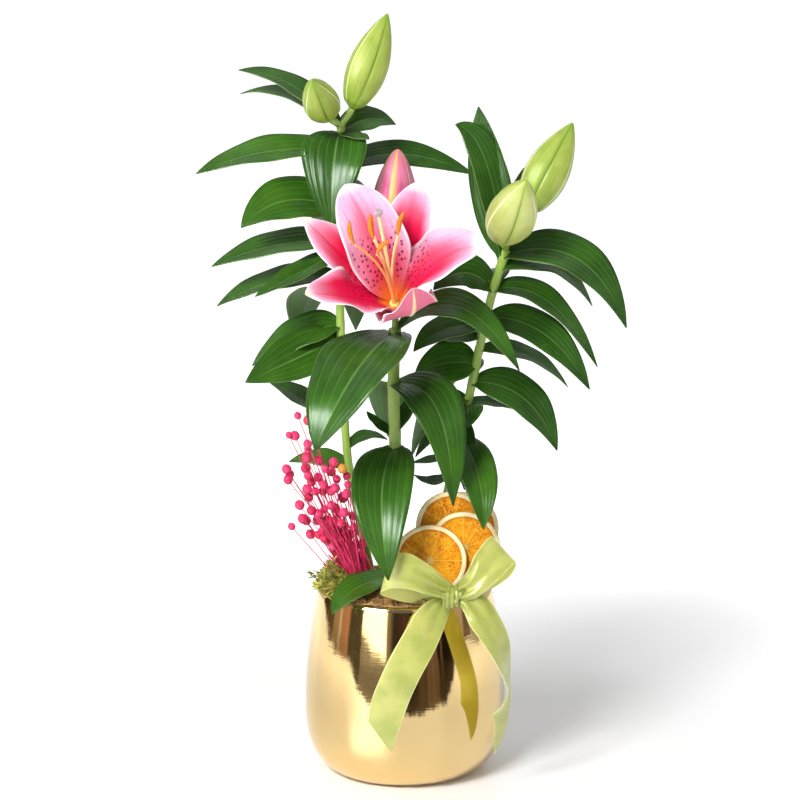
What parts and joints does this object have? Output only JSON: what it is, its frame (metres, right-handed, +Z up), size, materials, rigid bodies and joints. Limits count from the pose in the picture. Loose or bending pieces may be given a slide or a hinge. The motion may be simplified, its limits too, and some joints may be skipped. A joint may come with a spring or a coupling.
{
  "type": "potted lily",
  "caption": "Flowering lily plants growing from bulbs in a round gold-glazed pot, with moss, a dyed flax spray, dried orange slices and a satin ribbon bow on the rim",
  "frame": {"origin": "middle of the pot's flat underside, on the floor", "axes": "+Z up through the pot's middle, -Y the front that carries the bow, +X to the right as seen from the front"},
  "size_m": [0.3016, 0.1844, 0.54],
  "materials": {
    "pot": "mirror gold",
    "soil": "loose and matt",
    "moss": "dry fibres",
    "bulb": "dull scales",
    "stem": "waxy sheen",
    "bud_green": "waxy sheen",
    "bud_pink": "waxy sheen",
    "bloom": "satin",
    "pistil": "satin",
    "anther": "powdery",
    "flax": "dyed and matt",
    "orange": "dried and translucent",
    "ribbon": "satin",
    "pick": "satin"
  },
  "bodies": {
    "root": {"pot": "pot", "bud_left_tall": "bud_green", "bud_left_short": "bud_green", "bud_middle_pink": "bud_pink", "bud_right_front": "bud_green", "bud_right_tall": "bud_green", "stem_left": "stem", "stem_middle": "stem", "stem_right": "stem", "bloom_tepals": "bloom", "bloom_pistil_filaments": "pistil", "anther_1": "anther", "anther_2": "anther", "anther_3": "anther", "anther_4": "anther", "anther_5": "anther", "anther_6": "anther", "bulb_left": "bulb", "bulb_middle": "bulb", "bulb_right": "bulb", "flax_bunch": "flax", "orange_slice_1": "orange", "orange_slice_2": "orange", "orange_slice_3": "orange", "orange_slice_4": "orange", "soil": "soil", "ribbon_bow": "ribbon", "bow_pick": "pick", "moss": "moss"}
  },
  "joints": []
}
